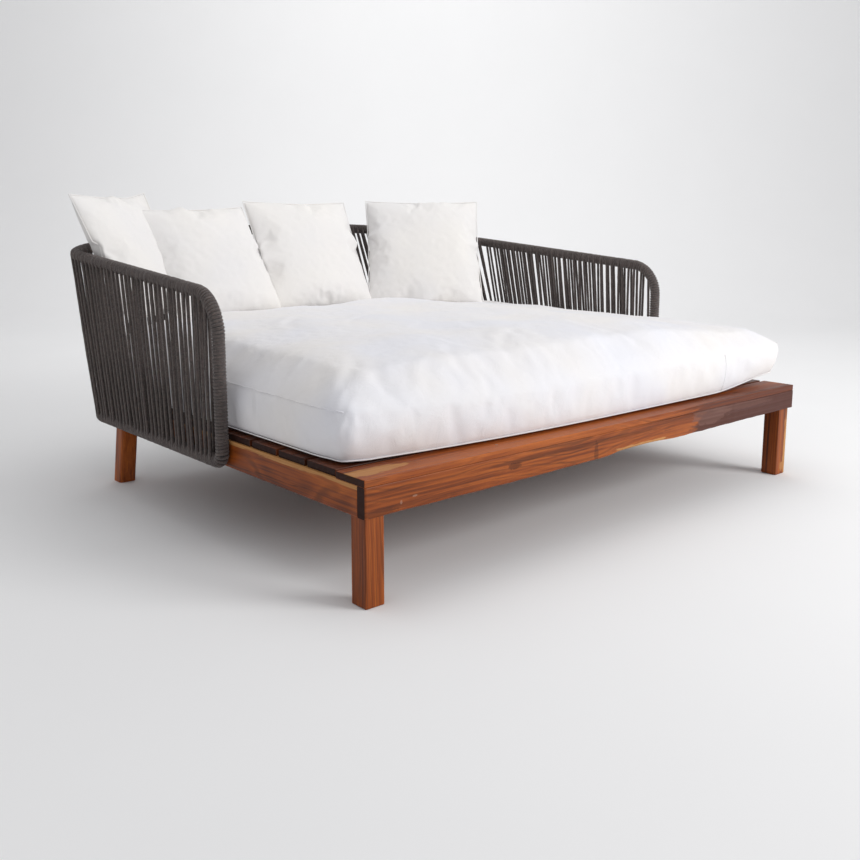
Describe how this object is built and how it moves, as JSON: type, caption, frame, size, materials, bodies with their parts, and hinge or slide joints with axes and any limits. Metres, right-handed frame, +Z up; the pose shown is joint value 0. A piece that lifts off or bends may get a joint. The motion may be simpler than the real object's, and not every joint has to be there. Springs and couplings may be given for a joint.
{
  "type": "daybed",
  "caption": "Wide outdoor daybed: low slatted hardwood platform on square legs, rope-wound curved arms and back, thick mattress and loose square pillows.",
  "frame": {"origin": "centre of the footprint on the floor", "axes": "+X along the width (longest), +Y from the open front to the back rest, +Z up"},
  "size_m": [2.0867, 1.8213, 1.0232],
  "materials": {
    "frame_wood": "oiled reddish hardwood with dark grain",
    "deck_wood": "oiled hardwood, darker",
    "rope": "braided charcoal outdoor rope",
    "frame_steel": "matt charcoal powder coat",
    "zinc_steel": "zinc plated",
    "mattress_cotton": "white woven cotton",
    "pillow_cotton": "white woven cotton"
  },
  "bodies": {
    "frame": {"front_fascia": "frame_wood", "front_cap_plank": "frame_wood", "rear_rail": "frame_wood", "side_rail_left": "frame_wood", "side_rail_right": "frame_wood", "joist_left": "frame_wood", "joist_middle": "frame_wood", "joist_right": "frame_wood", "slat_01": "deck_wood", "slat_02": "deck_wood", "slat_03": "deck_wood", "slat_04": "deck_wood", "slat_05": "deck_wood", "slat_06": "deck_wood", "slat_07": "deck_wood", "slat_08": "deck_wood", "slat_09": "deck_wood", "slat_10": "deck_wood", "leg_front_left": "frame_wood", "leg_front_right": "frame_wood", "leg_back_left": "frame_wood", "leg_back_right": "frame_wood", "slat_screws": "zinc_steel", "leg_lag_screws": "zinc_steel", "joist_brackets": "zinc_steel", "bracket_screws": "zinc_steel", "arm_left_tube": "frame_steel", "arm_right_tube": "frame_steel", "back_top_tube": "frame_steel", "back_bottom_tube": "frame_steel", "back_upright_left": "frame_steel", "back_upright_right": "frame_steel", "frame_bosses": "frame_steel", "rear_spacers": "frame_steel", "frame_bolts": "zinc_steel", "frame_washers": "zinc_steel", "arm_left_rope_wrap": "rope", "arm_right_rope_wrap": "rope", "back_top_rope_wrap": "rope", "back_bottom_rope_wrap": "rope", "arm_left_rope": "rope", "arm_right_rope": "rope", "corner_left_rope": "rope", "corner_right_rope": "rope", "back_rope": "rope"},
    "mattress": {"mattress": "mattress_cotton"},
    "pillow_corner": {"pillow_corner": "pillow_cotton"},
    "pillow_left": {"pillow_left": "pillow_cotton"},
    "pillow_middle": {"pillow_middle": "pillow_cotton"},
    "pillow_right": {"pillow_right": "pillow_cotton"}
  },
  "joints": [
    {"name": "mattress_lift", "type": "slide", "parent": "frame", "child": "mattress", "axis": [0, 0, 1], "range_m": [0, 0.3]},
    {"name": "pillow_corner_lift", "type": "slide", "parent": "mattress", "child": "pillow_corner", "axis": [0, 0.3907, 0.9205], "range_m": [0, 0.08]},
    {"name": "pillow_left_lift", "type": "slide", "parent": "mattress", "child": "pillow_left", "axis": [0, 0.4848, 0.8746], "range_m": [0, 0.25]},
    {"name": "pillow_middle_lift", "type": "slide", "parent": "mattress", "child": "pillow_middle", "axis": [0, 0.4067, 0.9135], "range_m": [0, 0.25]},
    {"name": "pillow_right_lift", "type": "slide", "parent": "mattress", "child": "pillow_right", "axis": [0, 0.515, 0.8572], "range_m": [0, 0.25]}
  ]
}
